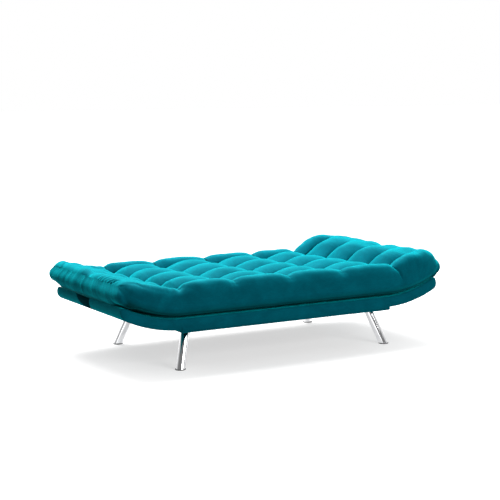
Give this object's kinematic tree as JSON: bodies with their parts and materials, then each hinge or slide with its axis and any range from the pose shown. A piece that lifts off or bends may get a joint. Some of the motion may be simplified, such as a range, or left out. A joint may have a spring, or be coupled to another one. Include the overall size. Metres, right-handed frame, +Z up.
{
  "type": "sofa bed",
  "caption": "Click-clack sofa bed lying flat: quilted velvet mattress with raised curved ends, upholstered base, splayed chrome legs; the back half folds up on ratchet hinges.",
  "frame": {"origin": "on the floor, under the middle of the bed", "axes": "+X along the bed, +Y from the seat half to the back half, +Z up"},
  "size_m": [1.9026, 0.91, 0.4963],
  "materials": {
    "velvet": "matte",
    "dust_cover": "matte",
    "frame_steel": "satin",
    "slat_wood": "satin",
    "chrome_tube": "polished",
    "glide_plastic": "matte",
    "zinc_steel": "satin"
  },
  "bodies": {
    "base": {"seat_mattress": "velvet", "mattress_fold": "velvet", "seat_cover": "velvet", "seat_underlining": "dust_cover", "seat_rail_front": "frame_steel", "seat_rail_rear": "frame_steel", "seat_crossbars": "frame_steel", "seat_slats": "slat_wood", "chassis_rail_left": "frame_steel", "chassis_rail_right": "frame_steel", "chassis_cross_front": "frame_steel", "chassis_cross_rear": "frame_steel", "leg_front_left": "chrome_tube", "leg_front_right": "chrome_tube", "leg_rear_left": "chrome_tube", "leg_rear_right": "chrome_tube", "leg_plate_front_left": "zinc_steel", "leg_plate_front_right": "zinc_steel", "leg_plate_rear_left": "zinc_steel", "leg_plate_rear_right": "zinc_steel", "foot_glide_front_left": "glide_plastic", "foot_glide_front_right": "glide_plastic", "foot_glide_rear_left": "glide_plastic", "foot_glide_rear_right": "glide_plastic", "leg_screws": "zinc_steel", "seat_frame_bolts": "zinc_steel", "hinge_seat_bracket_left": "zinc_steel", "hinge_seat_bracket_right": "zinc_steel", "hinge_pin_left": "zinc_steel", "hinge_pin_right": "zinc_steel", "hinge_seat_bolts": "zinc_steel", "pawl_pin_left": "zinc_steel", "pawl_pin_right": "zinc_steel", "pawl_spring_left": "zinc_steel", "pawl_spring_right": "zinc_steel"},
    "back": {"back_mattress": "velvet", "back_cover": "velvet", "back_underlining": "dust_cover", "back_rail_lower": "frame_steel", "back_rail_upper": "frame_steel", "back_wing_rails": "frame_steel", "back_crossbars": "frame_steel", "back_slats": "slat_wood", "hinge_back_bracket_left": "zinc_steel", "hinge_back_bracket_right": "zinc_steel", "hinge_back_bolts": "zinc_steel"},
    "pawl_left": {"pawl_left": "zinc_steel"},
    "pawl_right": {"pawl_right": "zinc_steel"}
  },
  "joints": [
    {"name": "back_fold", "type": "hinge", "parent": "base", "child": "back", "pos_m": [0, 0, 0.24], "axis": [1, 0, 0], "range_deg": [0, 75], "deforming": ["mattress_fold"]},
    {"name": "pawl_left_swing", "type": "hinge", "parent": "base", "child": "pawl_left", "pos_m": [-0.5015, -0.045, 0.207], "axis": [1, 0, 0], "range_deg": [0, 6.5], "stiffness_Nm_per_rad": 0.5, "deforming": ["pawl_spring_left"]},
    {"name": "pawl_right_swing", "type": "hinge", "parent": "base", "child": "pawl_right", "pos_m": [0.5015, -0.045, 0.207], "axis": [1, 0, 0], "range_deg": [0, 6.5], "stiffness_Nm_per_rad": 0.5, "deforming": ["pawl_spring_right"]}
  ]
}
